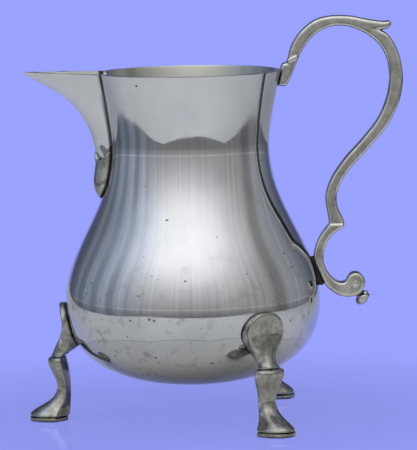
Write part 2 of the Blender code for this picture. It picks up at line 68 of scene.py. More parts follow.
camera.data.clip_start = 10 * MM
bpy.context.scene.camera = camera
bpy.context.scene.view_settings.view_transform = "Standard"
bpy.ops.object.select_all(action="DESELECT")

# Body
# A pear-shaped pot of pewter, turned on a lathe in two shells and soldered round the belly, with the
# seam scraped flush. Its wall is cut away at the lip where the spout joins it.
BODY_WALL = 1.6
LIP_HEIGHT = 107.4
LIP_ROUNDING = 0.3
BODY_LINE = [  # handle, knot, handle, in mm from the axis and from the table
    ((29.8, 111.3), (28.6, 107.4), (27.4, 103.5)),
    ((24.45, 89.0), (24.45, 85.1), (24.45, 64.2)),
    ((39.3, 54.0), (39.3, 36.6), (39.3, 20.9)),
    ((27.9, 11.2), (0.0, 11.2), (-8.0, 11.2)),
]
BODY_STEPS, TURN_STEPS = 44, 160


def draw_line(name, knots, steps):
    """Draws a Bezier line of (handle, knot, handle) points in mm from the jug's axis, as a mesh."""
    bpy.ops.curve.primitive_bezier_curve_add()
    line = bpy.context.object
    line.name = line.data.name = name
    line.data.dimensions = "3D"
    line.data.resolution_u = steps
    spline = line.data.splines[0]
    spline.bezier_points.add(len(knots) - 2)
    for knot, spots in zip(spline.bezier_points, knots):
        knot.handle_left_type = knot.handle_right_type = "FREE"
        # a spot of two numbers lies in the jug's middle plane
        before, at, after = [
            (JUG_AXIS + s[0] * MM, (s[1] if len(s) == 3 else 0.0) * MM, s[-1] * MM) for s in spots
        ]
        knot.handle_left, knot.co, knot.handle_right = before, at, after
    bpy.ops.object.convert(target="MESH")
    return bpy.context.object


def line_reach(line, height):
    """How far a drawn line that falls all the way is from the axis at a height, in mm."""
    for (_, a, b), (c, d, _) in zip(line, line[1:]):
        if d[1] <= height <= a[1]:
            # the share of the stretch at which the height is met is found by halving
            low, high = 0.0, 1.0
            for _ in range(30):
                s = (low + high) / 2
                shares = ((1 - s) ** 3, 3 * (1 - s) ** 2 * s, 3 * (1 - s) * s**2, s**3)
                x, z = [sum(k * p[i] for k, p in zip(shares, (a, b, c, d))) for i in (0, 1)]
                low, high = (s, high) if z > height else (low, s)
            return x
    return line[0][1][0]


def pick(piece, rule):
    """Selects the points of the piece in edit mode for which rule(place in mm) is true."""
    mesh = bmesh.from_edit_mesh(piece.data)
    for v in mesh.verts:
        v.select = bool(rule(((v.co.x - JUG_AXIS) / MM, v.co.y / MM, v.co.z / MM)))
    mesh.select_flush(False)
    mesh.select_flush(True)
    bmesh.update_edit_mesh(piece.data)


def finish_with(piece, kind, **settings):
    """Adds a modifier with these settings and applies it."""
    bpy.context.view_layer.objects.active = piece
    modifier = piece.modifiers.new(kind.lower(), kind)
    for name, value in settings.items():
        setattr(modifier, name, value)
    bpy.ops.object.modifier_apply(modifier=modifier.name)


body = draw_line("turned_body", BODY_LINE, BODY_STEPS)
bpy.ops.object.mode_set(mode="EDIT")
bpy.ops.mesh.select_all(action="SELECT")
bpy.ops.mesh.spin(steps=TURN_STEPS, angle=math.tau, center=(JUG_AXIS, 0, 0), axis=(0, 0, 1))
bpy.ops.mesh.select_all(action="SELECT")
bpy.ops.mesh.remove_doubles(threshold=0.02 * MM)
bpy.ops.mesh.normals_make_consistent(inside=False)

# The opening behind the spout: two slanting cuts and a level one, and the wall between them is
# taken out.
OPENING_TOP, OPENING_FOOT, OPENING_SILL = 8.9, 3.4, 85.2
OPENING_MARGIN = 4  # the cuts reach this far below the sill
SPOUT_SIDE = 15  # the cuts stay further than this from the axis, and nearer to the middle plane


def near_opening(p):
    """Whether a place lies on the part of the neck that the cuts go through."""
    return p[0] < -SPOUT_SIDE and p[2] > OPENING_SILL - OPENING_MARGIN and abs(p[1]) < SPOUT_SIDE


opening_lean = math.atan2(OPENING_TOP - OPENING_FOOT, LIP_HEIGHT - OPENING_SILL)
for side in (-1, 1):
    pick(body, near_opening)
    bpy.ops.mesh.bisect(
        plane_co=(0, side * OPENING_FOOT * MM, OPENING_SILL * MM),
        plane_no=(0, side * math.cos(opening_lean), -math.sin(opening_lean)),
    )
pick(body, near_opening)
bpy.ops.mesh.bisect(plane_co=(0, 0, OPENING_SILL * MM), plane_no=(0, 0, 1))
bpy.ops.mesh.select_mode(type="FACE")
shell = bmesh.from_edit_mesh(body.data)
for face in shell.faces:
    middle = face.calc_center_median()
    half = OPENING_FOOT * MM + (middle.z - OPENING_SILL * MM) * math.tan(opening_lean)
    face.select = middle.x < JUG_AXIS and middle.z > OPENING_SILL * MM and abs(middle.y) < half
bmesh.update_edit_mesh(body.data)
bpy.ops.mesh.delete(type="FACE")
bpy.ops.mesh.select_mode(type="VERT")
bpy.ops.object.mode_set(mode="OBJECT")

finish_with(body, "SOLIDIFY", thickness=BODY_WALL * MM, offset=-1, use_even_offset=True)
# the lip is turned flat and its edges are rounded
bpy.ops.object.mode_set(mode="EDIT")
pick(body, lambda p: p[2] > LIP_HEIGHT - 0.02)
bpy.ops.transform.resize(value=(1, 1, 0), center_override=(JUG_AXIS, 0, LIP_HEIGHT * MM))
bpy.ops.object.mode_set(mode="OBJECT")
finish_with(
    body,
    "BEVEL",
    width=LIP_ROUNDING * MM,
    segments=3,
    limit_method="ANGLE",
    angle_limit=math.radians(50),
)
bpy.ops.object.shade_smooth_by_angle(angle=math.radians(40))


# Turned pewter, burnished and then handled for years: a grey mirror, with cloudy finger marks, dull
# stains low on the belly, a few small open pits, dark tarnish with painted shade in the corners, and
# painted shade under the belly.
def colour(code):
    """An sRGB hex colour as linear red, green, blue and alpha."""
    parts = [int(code[i : i + 2], 16) / 255 for i in (1, 3, 5)]
    return tuple(c / 12.92 if c <= 0.04045 else ((c + 0.055) / 1.055) ** 2.4 for c in parts) + (1.0,)


def add(tree, kind, sockets=None, **settings):
    """Adds a node with its settings, and sets or links its sockets."""
    node = tree.nodes.new("ShaderNode" + kind)
    for name, value in settings.items():
        setattr(node, name, value)
    for name, value in (sockets or {}).items():
        if isinstance(value, bpy.types.NodeSocket):
            tree.links.new(value, node.inputs[name])
        else:
            node.inputs[name].default_value = value
    return node


turned = bpy.data.materials.new("pewter_turned_and_burnished")
turned.use_nodes = True
t = turned.node_tree
t.nodes.clear()
place = add(t, "TexCoord").outputs["Object"]
height = add(t, "SeparateXYZ", {0: place}).outputs["Z"]
# clouds of finger marks about 14 mm across
clouds = add(t, "TexNoise", {"Vector": place, "Scale": 1 / (14 * MM), "Detail": 4.0, "Roughness": 0.55})
# polishing streaks 0.8 mm wide and 25 mm long, wider than the real scratches so that they show
along = add(t, "Mapping", {"Vector": place, "Scale": (1 / (0.8 * MM), 1 / (0.8 * MM), 1 / (25 * MM))})
streaks = add(t, "TexNoise", {"Vector": along.outputs[0], "Scale": 1.0, "Detail": 3.0})
# stains about 4 mm across, on the belly from 58 mm above the table downwards
low = add(t, "MapRange", {0: height, 1: 34 * MM, 2: 58 * MM, 3: 1.0, 4: 0.15})
stains = add(t, "TexNoise", {"Vector": place, "Scale": 1 / (4 * MM), "Detail": 5.0, "Roughness": 0.6})
stain_edge = add(t, "MapRange", {0: stains.outputs[0], 1: 0.54, 2: 0.7})
stain = add(t, "Math", {0: low.outputs[0], 1: stain_edge.outputs[0]}, operation="MULTIPLY")
# slanting pits 0.6 mm across in cells of about 2.6 mm: they lie in clusters, and few are left open above
# the belly
slant = add(
    t,
    "Mapping",
    {"Vector": place, "Rotation": (0.5, 0.3, 0.2), "Scale": (1 / (3.6 * MM), 1 / (2.6 * MM), 1 / (2 * MM))},
)
pits = add(t, "TexVoronoi", {"Vector": slant.outputs[0], "Scale": 1.0})
pit_size = add(t, "MapRange", {0: pits.outputs["Distance"], 1: 0.07, 2: 0.17, 3: 1.0, 4: 0.0})
pit_share = add(t, "MapRange", {0: low.outputs[0], 3: 0.9, 4: 0.35})
pit_open = add(t, "Math", {0: pits.outputs["Color"], 1: pit_share.outputs[0]}, operation="GREATER_THAN")
pit_group = add(t, "MapRange", {0: stains.outputs[0], 1: 0.47, 2: 0.5})
pit_here = add(t, "Math", {0: pit_open.outputs[0], 1: pit_group.outputs[0]}, operation="MULTIPLY")
pit = add(t, "Math", {0: pit_size.outputs[0], 1: pit_here.outputs[0]}, operation="MULTIPLY")
# the inside is dull and a little olive: there the faces look towards the axis
from_axis = add(t, "VectorMath", {0: place, 1: (JUG_AXIS, 0, 0)}, operation="SUBTRACT")
level_way = add(t, "VectorMath", {0: from_axis.outputs[0], 1: (1, 1, 0)}, operation="MULTIPLY")
face_way = add(t, "NewGeometry").outputs["Normal"]
facing = add(t, "VectorMath", {0: level_way.outputs[0], 1: face_way}, operation="DOT_PRODUCT")
inside = add(t, "Math", {0: facing.outputs["Value"], 1: -2 * MM}, operation="LESS_THAN")
# dark tarnish together with painted shade, in the corners and where the other parts come near
corner = add(t, "AmbientOcclusion", {"Distance": 2.2 * MM}, samples=8)
tarnish_and_shade = add(t, "MapRange", {0: corner.outputs["AO"], 1: 0.3, 2: 0.78, 3: 1.0, 4: 0.0})
tone = add(t, "ValToRGB", {0: clouds.outputs[0]})
tone.color_ramp.elements[0].position, tone.color_ramp.elements[0].color = 0.3, colour("#c6c8cc")
tone.color_ramp.elements[1].position, tone.color_ramp.elements[1].color = 0.7, colour("#d3d5d8")
aged = add(t, "Mix", {0: inside.outputs[0], 6: tone.outputs[0], 7: colour("#b9bab3")}, data_type="RGBA")
# painted shade: the belly darkens from 42 mm above the table down to 26 mm
low_belly_shade = add(t, "MapRange", {0: height, 1: 26 * MM, 2: 42 * MM, 3: 0.32, 4: 0.0})
stain_and_shade_mix = add(t, "Math", {0: stain.outputs[0], 1: 0.45, 2: low_belly_shade.outputs[0]}, operation="MULTIPLY_ADD")
stained_and_shaded = add(
    t, "Mix", {0: stain_and_shade_mix.outputs[0], 6: aged.outputs[2], 7: colour("#86877f")}, data_type="RGBA"
)
dulled_and_shaded = add(
    t, "Mix", {0: tarnish_and_shade.outputs[0], 6: stained_and_shaded.outputs[2], 7: colour("#3c3d40")}, data_type="RGBA"
)
pitted = add(t, "Mix", {0: pit.outputs[0], 6: dulled_and_shaded.outputs[2], 7: colour("#2c2d30")}, data_type="RGBA")
gloss = add(t, "MapRange", {0: clouds.outputs[0], 1: 0.3, 2: 0.75, 3: 0.03, 4: 0.07})
gloss_aged = add(t, "Math", {0: inside.outputs[0], 1: 0.18, 2: gloss.outputs[0]}, operation="MULTIPLY_ADD")
gloss_stained = add(
    t, "Math", {0: stain.outputs[0], 1: 0.12, 2: gloss_aged.outputs[0]}, operation="MULTIPLY_ADD"
)
rough = add(t, "Math", {0: pit.outputs[0], 1: 0.3, 2: gloss_stained.outputs[0]}, operation="MULTIPLY_ADD")
ripple = add(t, "Bump", {"Height": streaks.outputs[0], "Strength": 0.02, "Distance": 0.1 * MM})
dents = add(
    t,
    "Bump",
    {"Height": pit.outputs[0], "Strength": 0.5, "Distance": 0.1 * MM, "Normal": ripple.outputs[0]},
    invert=True,
)
metal = add(
    t,
    "BsdfPrincipled",
    {
        "Base Color": pitted.outputs[2],
        "Metallic": 1.0,
        "Roughness": rough.outputs[0],
        "Normal": dents.outputs[0],
    },
)
add(t, "OutputMaterial", {"Surface": metal.outputs[0]})
body.data.materials.append(turned)
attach(body, "root")
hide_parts("body_neck", "body_bowl")
bpy.ops.object.select_all(action="DESELECT")

# Spout
# A beak bent from one sheet of pewter along its keel. Its two edges are soldered into the neck, and
# it is open above and into the jug.
SPOUT_WALL = 1.2
SPOUT_FALL = 26.6  # from the lip down to where the spout is narrowest
SPOUT_HALF_TOP, SPOUT_HALF_FOOT = 10.3, 4.5
TIP_REACH, TIP_LIFT = 51.4, 0.6  # the tip is a little higher than the lip
SPOUT_NARROWING = 1.6  # the power by which it narrows downwards
TIP_BOW, TAIL_BOW, BOW_FALL = 0.12, 0.82, 20  # share of a round section at the lip and 20 mm below it
LIP_EDGE = 0.15
KEEL_CREASES = [(96, 0.5), (90, 0.25), (84, 0.2)]  # lowest height, sharpness that is added above it
JOINT_DEPTH = 0.9  # the edges of the sheet lie this far inside the neck's face
KEEL_LINE = [  # handle, knot, handle, in mm from the axis and from the table
    ((55.4, 111.4), (54.4, 110.5), (53.4, 109.6)),
    ((52.4, 108.8), (51.4, 108.0), (45.2, 102.9)),
    ((32.2, 101.4), (29.15, 83.6), (28.7, 81.6)),
    ((26.6, 77.6), (25.6, 75.6), (24.6, 73.6)),
]


def spout_sizes(height):
    """The keel's reach, the joint's reach and the half width of the spout at a height."""
    fall = min((LIP_HEIGHT - height) / SPOUT_FALL, 1.0)
    half = SPOUT_HALF_FOOT + (SPOUT_HALF_TOP - SPOUT_HALF_FOOT) * (1 - fall) ** SPOUT_NARROWING
    neck = line_reach(BODY_LINE, min(height, LIP_HEIGHT)) - JOINT_DEPTH
    return line_reach(KEEL_LINE, height), math.sqrt(neck**2 - half**2), half


# its sections run from above the lip, where it is cut off later, down into the drop
levels = [110.4, 108.9] + [LIP_HEIGHT - 2 * i for i in range(16)] + [75.8]
keel_spots = [(-spout_sizes(z)[0], 0.0, z) for z in levels]
joint_spots = [(-spout_sizes(z)[1], -spout_sizes(z)[2], z) for z in levels]
joint = draw_line("spout_joint", [(s, s, s) for s in joint_spots], 1)
draw_line("sheet_spout", [(s, s, s) for s in keel_spots], 1)
joint.select_set(True)
bpy.ops.object.join()
spout = bpy.context.object
bpy.ops.object.mode_set(mode="EDIT")
bpy.ops.mesh.select_all(action="SELECT")
bpy.ops.mesh.bridge_edge_loops(number_cuts=7, interpolation="LINEAR")
# the flank is nearly flat by the tip and bent to a round trough at the tail
sheet_mesh = bmesh.from_edit_mesh(spout.data)
for v in sheet_mesh.verts:
    reach, root, half = spout_sizes(v.co.z / MM)
    across = min(abs(v.co.y) / MM / half, 1.0)
    below_lip = min(max((LIP_HEIGHT - v.co.z / MM) / BOW_FALL, 0.0), 1.0)
    round_share = TIP_BOW + (TAIL_BOW - TIP_BOW) * below_lip
    bow = (1 - round_share) * (1 - across) + round_share * math.sqrt(1 - across**2)
    v.co.x = JUG_AXIS - (root + (reach - root) * bow) * MM
bmesh.update_edit_mesh(spout.data)
bpy.ops.object.mode_set(mode="OBJECT")
finish_with(spout, "MIRROR", use_axis=(False, True, False), merge_threshold=0.01 * MM)
bpy.ops.object.mode_set(mode="EDIT")
bpy.ops.mesh.select_all(action="SELECT")
bpy.ops.mesh.normals_make_consistent(inside=False)
# the outside of the sheet is the side away from the axis
sheet_mesh = bmesh.from_edit_mesh(spout.data)
if sum(f.normal.x * f.calc_area() for f in sheet_mesh.faces) > 0:
    bpy.ops.mesh.flip_normals()
# the keel is creased sharp near the tip and left round at the tail
for lowest, crease in KEEL_CREASES:
    pick(spout, lambda p: abs(p[1]) < 0.01 and p[2] > lowest)
    bpy.ops.transform.edge_crease(value=crease)
bpy.ops.object.mode_set(mode="OBJECT")
finish_with(
    spout,
    "SOLIDIFY",
    thickness=SPOUT_WALL * MM,
    offset=-1,
    use_even_offset=True,
    edge_crease_rim=0.4,
)
finish_with(spout, "SUBSURF", levels=2, render_levels=2)
# the lip of the spout is filed flat, rising a little to the tip
bpy.ops.object.mode_set(mode="EDIT")
bpy.ops.mesh.select_all(action="SELECT")
lip_rise = TIP_LIFT / (TIP_REACH - line_reach(BODY_LINE, LIP_HEIGHT))
bpy.ops.mesh.bisect(
    plane_co=(JUG_AXIS - TIP_REACH * MM, 0, (LIP_HEIGHT + TIP_LIFT) * MM),
    plane_no=(lip_rise, 0, 1),
    use_fill=True,
    clear_outer=True,
)
bpy.ops.object.mode_set(mode="OBJECT")
finish_with(
    spout,
    "BEVEL",
    width=LIP_EDGE * MM,
    segments=2,
    limit_method="ANGLE",
    angle_limit=math.radians(50),
)
bpy.ops.object.shade_smooth_by_angle(angle=math.radians(40))


def mark_solder(piece, width):
    """Keeps in each point how near it is to the body: 1 at the body's face, 0 at this many mm from it."""
    solder = piece.data.attributes.new("solder", "FLOAT", "POINT")
    for v, mark in zip(piece.data.vertices, solder.data):
        reach = line_reach(BODY_LINE, min(v.co.z / MM, LIP_HEIGHT))
        out = math.hypot(v.co.x - JUG_AXIS, v.co.y) / MM - reach
        mark.value = 1.0 - min(max(out / width, 0.0), 1.0) ** 3


# the solder along the joint has gone dark
mark_solder(spout, 0.8)

# Sheet pewter, planished smooth and polished with the body, so it takes the body's finish, with the
# dark line of old solder along its edges.
sheet = turned.copy()
sheet.name = "pewter_sheet_polished"
t = sheet.node_tree
metal = next(n for n in t.nodes if n.type == "BSDF_PRINCIPLED")
clean = metal.inputs["Base Color"].links[0].from_socket
line_mark = add(t, "Attribute", attribute_name="solder")
soldered = add(t, "Mix", {0: line_mark.outputs["Fac"], 6: clean, 7: colour("#2e2c29")}, data_type="RGBA")
t.links.new(soldered.outputs[2], metal.inputs["Base Color"])
spout.data.materials.append(sheet)
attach(spout, "root")
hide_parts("spout")
bpy.ops.object.select_all(action="DESELECT")

# Drop
# A small cast teardrop that sheathes the tail of the spout. Its upper edge is cut to three leaf tips,
# one on the keel and one on each flank, and it is soldered on.
DROP_POINTS = 36
DROP_RINGS = [  # height, reach of the front from the axis, half width, share of the leaf edge
    (83.6, 27.9, 3.2, 1.0),
    (83.6, 29.3, 4.5, 1.0),
    (82.9, 29.45, 4.6, 1.0),
    (80.4, 29.2, 4.7, 0.45),
    (78.4, 29.25, 4.9, 0.1),
    (76.2, 29.65, 5.2, 0.0),
    (74.2, 29.95, 5.3, 0.0),
    (72.4, 29.8, 5.0, 0.0),
    (71.0, 29.45, 4.4, 0.0),
    (69.8, 28.85, 3.3, 0.0),
    (69.0, 28.2, 2.1, 0.0),
    (68.6, 27.6, 0.9, 0.0),
]
LEAF_DEPTH, LEAF_TURN = 2.9, 84
DROP_FULLNESS, DROP_BITE = 0.8, 0.8  # how square its sides stand, and how far its back is in the neck


def hoop(piece, spots):
    """Adds a ring of points, in mm from the jug's axis, and bridges it to the ring before."""
    if piece is None:
        bpy.ops.mesh.primitive_circle_add(vertices=len(spots), radius=MM)
        piece = bpy.context.object
        bpy.ops.object.mode_set(mode="EDIT")
    else:
        bpy.ops.mesh.select_all(action="DESELECT")
        bpy.ops.mesh.primitive_circle_add(vertices=len(spots), radius=MM)
    mesh = bmesh.from_edit_mesh(piece.data)
    mesh.verts.ensure_lookup_table()
    count = len(spots)
    for v, (x, y, z) in zip(mesh.verts[-count:], spots):
        v.co = (JUG_AXIS + x * MM, y * MM, z * MM)
    if len(mesh.verts) > count:
        for v in mesh.verts[-2 * count : -count]:
            v.select = True
        mesh.select_flush(True)
    bmesh.update_edit_mesh(piece.data)
    if len(mesh.verts) > count:
        bpy.ops.mesh.bridge_edge_loops()
    return piece


def cap_ends(piece, count):
    """Closes the first and last ring and turns the faces outwards."""
    mesh = bmesh.from_edit_mesh(piece.data)
    for v in mesh.verts:
        v.select = False
    mesh.select_flush(False)
    mesh.verts.ensure_lookup_table()
    for ring in (mesh.verts[:count], mesh.verts[-count:]):
        for v in ring:
            v.select = True
        mesh.select_flush(True)
        bmesh.update_edit_mesh(piece.data)
        bpy.ops.mesh.edge_face_add()
        bpy.ops.mesh.select_all(action="DESELECT")
        mesh.verts.ensure_lookup_table()
    bpy.ops.mesh.select_all(action="SELECT")
    bpy.ops.mesh.normals_make_consistent(inside=False)
    bpy.ops.object.mode_set(mode="OBJECT")


drop = None
for height, front, half, leaf in DROP_RINGS:
    spots = []
    for i in range(DROP_POINTS):
        turn = 360 * i / DROP_POINTS - 180
        c, s = math.cos(math.radians(turn)), math.sin(math.radians(turn))
        z = height - leaf * LEAF_DEPTH * abs(math.sin(math.pi * min(abs(turn), LEAF_TURN) / LEAF_TURN))
        root = math.sqrt(line_reach(BODY_LINE, height) ** 2 - half**2)
        # the front is round and the back lies inside the neck's wall
        if c > 0:
            out = root + (front - root) * c**DROP_FULLNESS
        else:
            out = root - DROP_BITE * min(1.0, -3 * c)
        spots.append((-out, half * s, z))
    drop = hoop(drop, spots)
cap_ends(drop, DROP_POINTS)
drop.name = drop.data.name = "cast_drop"
finish_with(drop, "SUBSURF", levels=2, render_levels=2)
bpy.ops.object.shade_smooth_by_angle(angle=math.radians(50))
mark_solder(drop, 0.9)


# Cast pewter, filed, scraped and buffed: greyer than the turned metal and a little olive, uneven over
# a few millimetres, with fine grain from the mould, edges worn bright with painted highlights, and dark
# tarnish with painted shade in the corners.
def cast_pewter(name, dark, light, gloss, mottle, wear_and_highlight=0.7, grime_and_shade=0.82, rim_shade=0.0):
    """Cast metal between two colours and two roughnesses, with mottling, worn edges with painted
    highlights, corners darkened by grime and painted shade, and a share of painted shade on the faces that
    don't look to the jug's sides."""
    cast = bpy.data.materials.new(name)
    cast.use_nodes = True
    t = cast.node_tree
    t.nodes.clear()
    place = add(t, "TexCoord").outputs["Object"]
    # filing facets about 3.5 mm across, mottling of 1.2 mm, and mould grain of 0.5 mm
    facets = add(t, "TexNoise", {"Vector": place, "Scale": 1 / (3.5 * MM), "Detail": 2.0})
    spots = add(t, "TexNoise", {"Vector": place, "Scale": 1 / (1.2 * MM), "Detail": 4.0, "Roughness": 0.65})
    grain = add(t, "TexNoise", {"Vector": place, "Scale": 1 / (0.5 * MM), "Detail": 3.0})
    # dark tarnish together with painted shade where the faces are hemmed in
    corner = add(t, "AmbientOcclusion", {"Distance": 1.3 * MM}, samples=8)
    tarnish_and_shade = add(t, "MapRange", {0: corner.outputs["AO"], 1: grime_and_shade - 0.52, 2: grime_and_shade, 3: 1.0, 4: 0.0})
    tone = add(t, "ValToRGB", {0: facets.outputs[0]})
    tone.color_ramp.elements[0].position, tone.color_ramp.elements[0].color = 0.3, colour(dark)
    tone.color_ramp.elements[1].position, tone.color_ramp.elements[1].color = 0.7, colour(light)
    spotted = add(t, "MapRange", {0: spots.outputs[0], 1: 0.45, 2: 0.7, 3: 0.0, 4: mottle})
    mottled = add(
        t, "Mix", {0: spotted.outputs[0], 6: tone.outputs[0], 7: colour("#4b4a44")}, data_type="RGBA"
    )
    surface = add(t, "NewGeometry")
    # the edges are worn bright, and this also paints highlights on them
    worn_and_highlit = add(t, "MapRange", {0: surface.outputs["Pointiness"], 1: 0.52, 2: 0.6, 3: 0.0, 4: wear_and_highlight})
    edged_and_highlit = add(
        t, "Mix", {0: worn_and_highlit.outputs[0], 6: mottled.outputs[2], 7: colour("#dadad6")}, data_type="RGBA"
    )
    # painted shade on the rims: the faces that don't look to the jug's sides are darkened
    to_side = add(t, "SeparateXYZ", {0: surface.outputs["Normal"]}).outputs["Y"]
    flat = add(t, "Math", {0: to_side}, operation="ABSOLUTE")
    rim_shading = add(t, "MapRange", {0: flat.outputs[0], 1: 0.3, 2: 0.8, 3: rim_shade, 4: 0.0})
    rim_shaded = add(
        t, "Mix", {0: rim_shading.outputs[0], 6: edged_and_highlit.outputs[2], 7: colour("#46464a")}, data_type="RGBA"
    )
    solder = add(t, "Attribute", attribute_name="solder").outputs["Fac"]
    blackened_and_shaded = add(t, "Math", {0: tarnish_and_shade.outputs[0], 1: solder}, operation="MAXIMUM")
    dulled_and_shaded = add(
        t, "Mix", {0: blackened_and_shaded.outputs[0], 6: rim_shaded.outputs[2], 7: colour("#232220")}, data_type="RGBA"
    )
    rough = add(t, "MapRange", {0: facets.outputs[0], 1: 0.3, 2: 0.7, 3: gloss[0], 4: gloss[1]})
    filed = add(t, "Bump", {"Height": facets.outputs[0], "Strength": 0.2, "Distance": 0.3 * MM})
    grained = add(
        t,
        "Bump",
        {"Height": grain.outputs[0], "Strength": 0.12, "Distance": 0.05 * MM, "Normal": filed.outputs[0]},
    )
    metal = add(
        t,
        "BsdfPrincipled",
        {
            "Base Color": dulled_and_shaded.outputs[2],
            "Metallic": 1.0,
            "Roughness": rough.outputs[0],
            "Normal": grained.outputs[0],
        },
    )
    add(t, "OutputMaterial", {"Surface": metal.outputs[0]})
    return cast


# the drop is rubbed by the hand that wipes the spout, so it is smooth; its edges are dark with solder,
# tarnish and painted shade
cast_rubbed = cast_pewter("pewter_cast_and_rubbed", "#8f8f89", "#c4c4be", (0.11, 0.19), 0.3, grime_and_shade=0.95)
drop.data.materials.append(cast_rubbed)
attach(drop, "root")
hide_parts("spout_drop")
bpy.ops.object.select_all(action="DESELECT")

# Handle
# One flat-sided casting of a double scroll: a tongue and lug on the lip, an arch with a flying thumb
# spur, an S-shaped grip, and a broken lower scroll with a rolled bulb and a bud. Its edges are rounded
# with a file, and it is soldered at the lip and, through a web, on the belly.
GRIP_WIDTH, SCROLL_WIDTH = 5.4, 6.0
GRIP_ROUNDING, SCROLL_ROUNDING = 0.95, 0.75
GRIP_EDGE = [  # x, z in mm from the axis and the table; "c" marks a corner
    (27.1, 102.4, "c"), (28.0, 106.4, ""), (28.2, 108.0, ""), (28.8, 109.2, ""), (30.1, 109.5, "c"),
    (30.6, 111.2, ""), (31.2, 113.6, ""), (33.0, 117.1, ""), (35.7, 120.1, ""), (39.3, 122.5, ""),
    (43.0, 123.45, ""), (46.6, 123.65, ""), (50.6, 123.3, ""), (54.2, 122.5, ""), (57.5, 121.9, ""),
    (60.4, 121.6, ""), (61.8, 121.8, "c"), (62.4, 120.8, ""), (61.7, 119.5, "c"), (60.5, 119.2, ""),
    (58.9, 119.0, "c"), (60.9, 117.9, ""), (62.8, 115.5, ""), (64.5, 111.8, ""), (65.4, 108.1, ""),
    (65.75, 104.4, ""), (65.4, 100.7, ""), (64.5, 97.0, ""), (62.9, 93.3, ""), (60.8, 89.6, ""),
    (54.7, 82.4, ""), (51.2, 78.7, ""), (48.1, 75.1, ""), (45.9, 71.4, ""), (44.85, 67.7, ""),
    (45.4, 64.0, ""), (46.3, 62.1, ""), (47.05, 60.3, "c"), (47.1, 58.9, "c"), (42.3, 59.2, "c"),
    (42.3, 60.3, ""), (41.75, 64.0, ""), (41.35, 66.8, ""), (41.65, 69.5, ""), (43.0, 73.2, ""),
    (46.6, 78.7, ""), (53.2, 86.0, ""), (57.55, 91.5, ""), (60.1, 97.0, ""), (61.4, 102.5, ""),
    (61.45, 106.2, ""), (60.1, 111.8, ""), (57.0, 116.0, ""), (51.4, 119.4, ""), (46.2, 120.45, ""),
    (42.2, 119.7, ""), (38.5, 117.5, ""), (34.8, 112.7, ""), (32.8, 108.4, ""), (30.5, 103.3, ""),
    (29.7, 102.2, "c"),
]
SCROLL_EDGE = [
    (42.5, 59.7, "c"), (40.9, 57.8, ""), (39.3, 55.5, ""), (38.05, 52.5, ""), (37.5, 50.0, ""),
    (37.8, 47.7, ""), (38.7, 45.4, ""), (40.2, 42.2, ""), (41.2, 40.3, ""), (42.7, 38.95, ""),
    (44.6, 37.6, ""), (46.9, 37.0, ""), (49.2, 36.95, ""), (51.4, 37.8, ""), (52.7, 39.6, ""),
    (53.1, 41.6, ""), (52.4, 43.4, ""), (50.4, 44.4, ""), (48.8, 44.0, ""), (47.7, 42.8, ""),
    (47.0, 41.7, ""), (45.9, 41.4, ""), (44.6, 41.75, ""), (43.3, 42.8, ""), (41.9, 44.5, ""),
    (40.9, 46.6, ""), (40.5, 49.0, ""), (41.2, 52.6, ""), (42.3, 54.8, ""), (43.9, 56.5, ""),
    (45.4, 57.6, ""), (47.1, 58.75, "c"), (46.9, 59.8, "c"),
]
BULB_SPOT, BULB_RADIUS, BULB_WIDTH = (50.25, 41.1), 3.1, 6.3
BUD_POINTS = 28
BUD_RINGS = [  # height, radius: a neck, the cup and the nut of an acorn
    (38.6, 1.0), (37.7, 1.05), (37.45, 1.8), (37.1, 2.15), (36.7, 2.15), (36.45, 1.8), (36.3, 1.75),
    (36.05, 1.95), (35.3, 1.85), (34.7, 1.4), (34.25, 0.8), (34.1, 0.2),
]
BUD_TOP_REACH, BUD_LEAN = 53.2, 0.36
WEB_FOOT, WEB_TOP, WEB_WIDTH, WEB_DEPTH = (38.4, 40.6), (36.8, 49.4), 4.8, 4.2
WEB_TAPER, WEB_TAPER_REACH, WEB_ROUNDING = (0.5, 0.8, 1), 2.5, 0.7
COLLAR_SPOT, COLLAR_LEAN = (31.9, 110.6), math.radians(25)
COLLAR_SIZE, COLLAR_ROUNDING = (3.5, 6.0, 1.3), 0.5
BLEND_CELL = 0.19  # the cells in which the parts of the casting are run into one


def cut_flat(name, edge, width, rounding):
    """A flat bar with this edge in the jug's middle plane, a width across it and rounded edges."""
    bpy.ops.curve.primitive_bezier_curve_add()
    bar = bpy.context.object
    bar.name = bar.data.name = name
    bar.data.dimensions = "2D"
    bar.data.fill_mode = "BOTH"
    bar.data.resolution_u = 8
    spline = bar.data.splines[0]
    spline.bezier_points.add(len(edge) - 2)
    spline.use_cyclic_u = True
    for knot, (x, z, kind) in zip(spline.bezier_points, edge):
        knot.co = (JUG_AXIS + x * MM, z * MM, 0)
        knot.handle_left_type = knot.handle_right_type = "VECTOR" if kind else "AUTO"
    bar.data.extrude = (width / 2 - rounding) * MM
    bar.data.bevel_depth = rounding * MM
    bar.data.bevel_resolution = 3
    bar.data.offset = -rounding * MM
    bpy.ops.object.convert(target="MESH")
    bar = bpy.context.object
    bpy.ops.object.mode_set(mode="EDIT")
    bpy.ops.mesh.select_all(action="SELECT")
    bpy.ops.mesh.remove_doubles(threshold=0.001 * MM)
    bpy.ops.mesh.normals_make_consistent(inside=False)
    bpy.ops.object.mode_set(mode="OBJECT")
    # the edge was drawn flat and is stood up in the middle plane
    bar.rotation_euler = (math.pi / 2, 0, 0)
    bpy.ops.object.transform_apply(location=False, rotation=True, scale=False)
    return bar


grip = cut_flat("cast_handle", GRIP_EDGE, GRIP_WIDTH, GRIP_ROUNDING)
scroll = cut_flat("handle_scroll", SCROLL_EDGE, SCROLL_WIDTH, SCROLL_ROUNDING)

